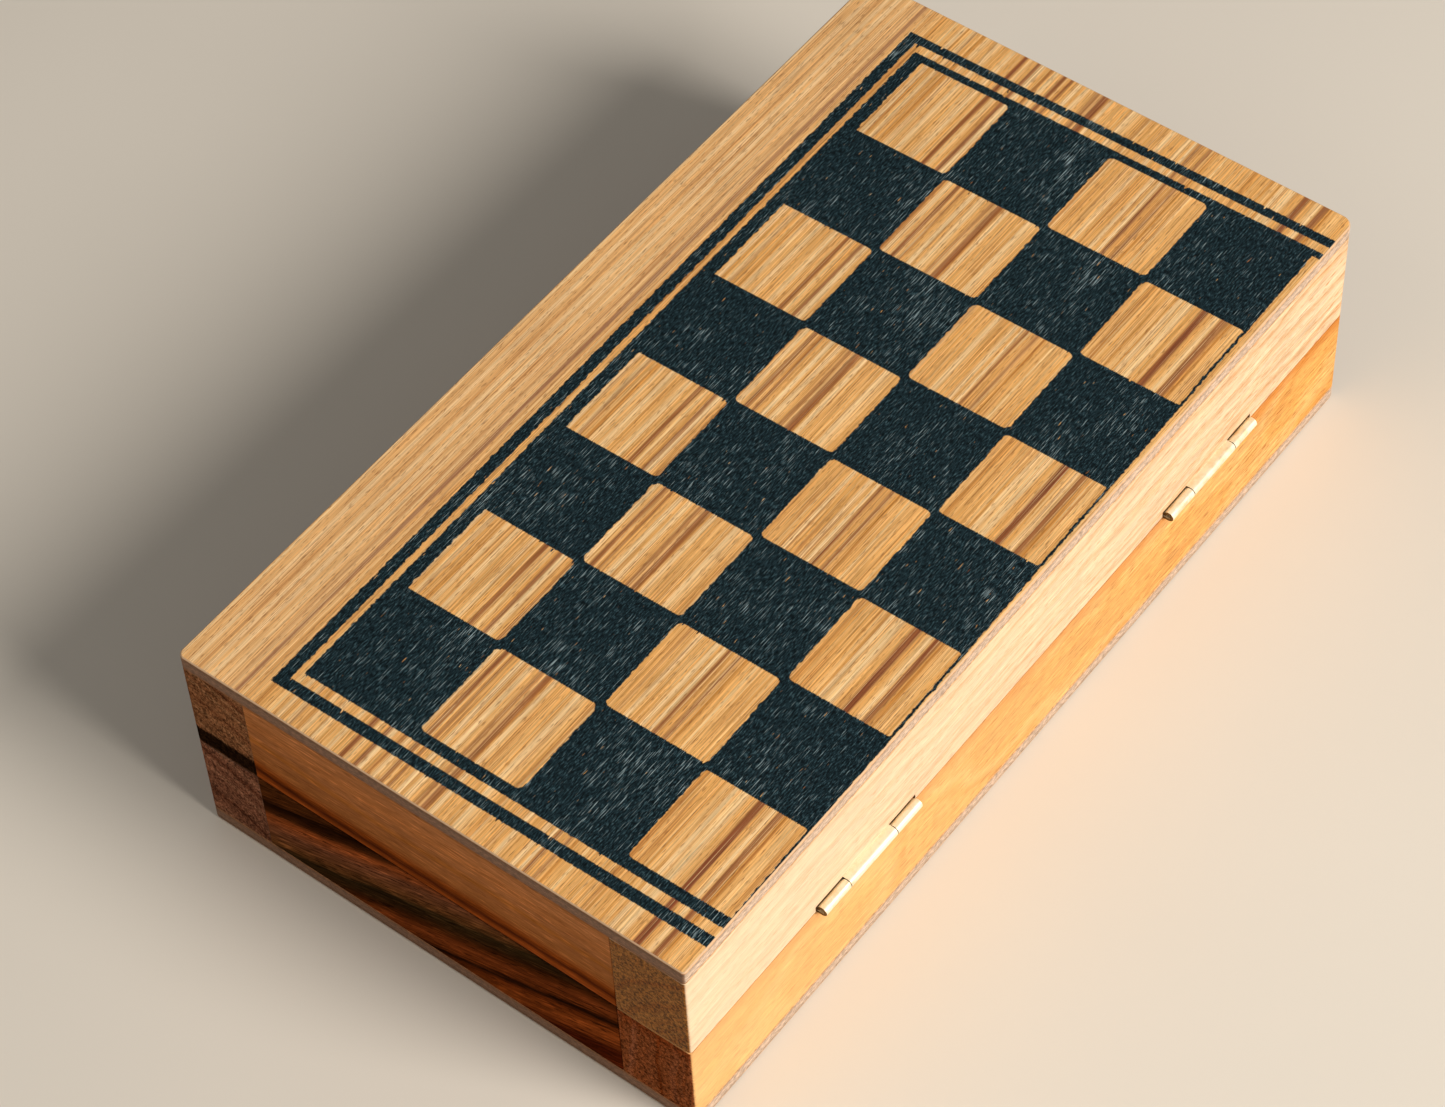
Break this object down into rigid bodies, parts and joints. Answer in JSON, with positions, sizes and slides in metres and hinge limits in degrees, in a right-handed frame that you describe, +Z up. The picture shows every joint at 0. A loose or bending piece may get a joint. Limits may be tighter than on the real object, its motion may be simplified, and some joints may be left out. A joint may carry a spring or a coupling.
{
  "type": "folding games box board",
  "caption": "Small wooden folding games box: two hinged trays whose printed panels open into one chequered board, with brass butt hinges and a hook catch.",
  "frame": {"origin": "middle of the base tray's outer face, which the shut box stands on", "axes": "+X along the hinge line towards the right end as seen from the hinge side, +Y from the hinge side to the front with the hook, +Z up"},
  "size_m": [0.182, 0.1042, 0.0436],
  "materials": {
    "printed_plywood": "striped veneer on plywood, screen printed in blue-black ink, matt",
    "pale_rail": "sanded pale wood, oiled, matt",
    "warm_rail": "sanded warm brown wood, oiled, matt",
    "light_end": "sanded light brown wood, oiled, matt",
    "dark_end": "sanded dark brown wood with reddish streaks, matt",
    "hinge_brass": "rolled brass sheet, slightly dulled",
    "nail_brass": "drawn brass, satin",
    "pin_steel": "drawn steel wire, darkened",
    "hook_brass": "stamped brass sheet, tumbled smooth",
    "screw_brass": "turned brass, satin"
  },
  "bodies": {
    "base": {"base_panel": "printed_plywood", "base_hinge_rail": "warm_rail", "base_front_rail": "warm_rail", "base_left_end": "dark_end", "base_right_end": "dark_end", "left_hinge_base_leaf": "hinge_brass", "left_hinge_base_nail_1": "nail_brass", "left_hinge_base_nail_2": "nail_brass", "left_hinge_pin": "pin_steel", "right_hinge_base_leaf": "hinge_brass", "right_hinge_base_nail_1": "nail_brass", "right_hinge_base_nail_2": "nail_brass", "right_hinge_pin": "pin_steel", "catch_screw": "screw_brass"},
    "lid": {"lid_panel": "printed_plywood", "lid_hinge_rail": "pale_rail", "lid_front_rail": "pale_rail", "lid_left_end": "light_end", "lid_right_end": "light_end", "left_hinge_lid_leaf": "hinge_brass", "left_hinge_lid_nail_1": "nail_brass", "left_hinge_lid_nail_2": "nail_brass", "right_hinge_lid_leaf": "hinge_brass", "right_hinge_lid_nail_1": "nail_brass", "right_hinge_lid_nail_2": "nail_brass", "hook_screw": "screw_brass"},
    "hook": {"hook": "hook_brass"}
  },
  "joints": [
    {"name": "lid_fold", "type": "hinge", "parent": "base", "child": "lid", "pos_m": [0, -0.0506, 0.0218], "axis": [1, 0, 0], "range_deg": [0, 180]},
    {"name": "hook_swing", "type": "hinge", "parent": "lid", "child": "hook", "pos_m": [0, 0.05065, 0.02875], "axis": [0, -1, 0], "range_deg": [0, 90]}
  ]
}
